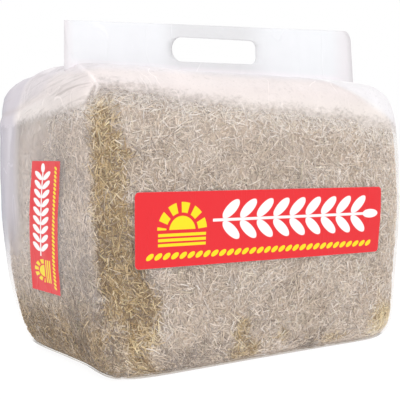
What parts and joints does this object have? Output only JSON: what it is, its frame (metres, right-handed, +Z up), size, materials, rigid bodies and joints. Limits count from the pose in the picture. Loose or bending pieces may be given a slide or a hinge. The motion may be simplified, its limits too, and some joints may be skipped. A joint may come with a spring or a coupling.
{
  "type": "square straw bale in a film carry bag",
  "caption": "Square bale of pressed straw in a clear film bag with red printed panels and a flat header with a hand slot.",
  "frame": {"origin": "on the surface that the bale rests on, under its middle", "axes": "+Z up, the wide front face looks along -Y, +X to the right along the header"},
  "size_m": [0.4179, 0.2308, 0.3615],
  "materials": {
    "straw": "dry matte pressed straw",
    "film": "clear slightly hazy gloss film with red printed panels"
  },
  "bodies": {
    "root": {"straw_block": "straw", "carry_bag": "film", "bag_header": "film"}
  },
  "joints": []
}
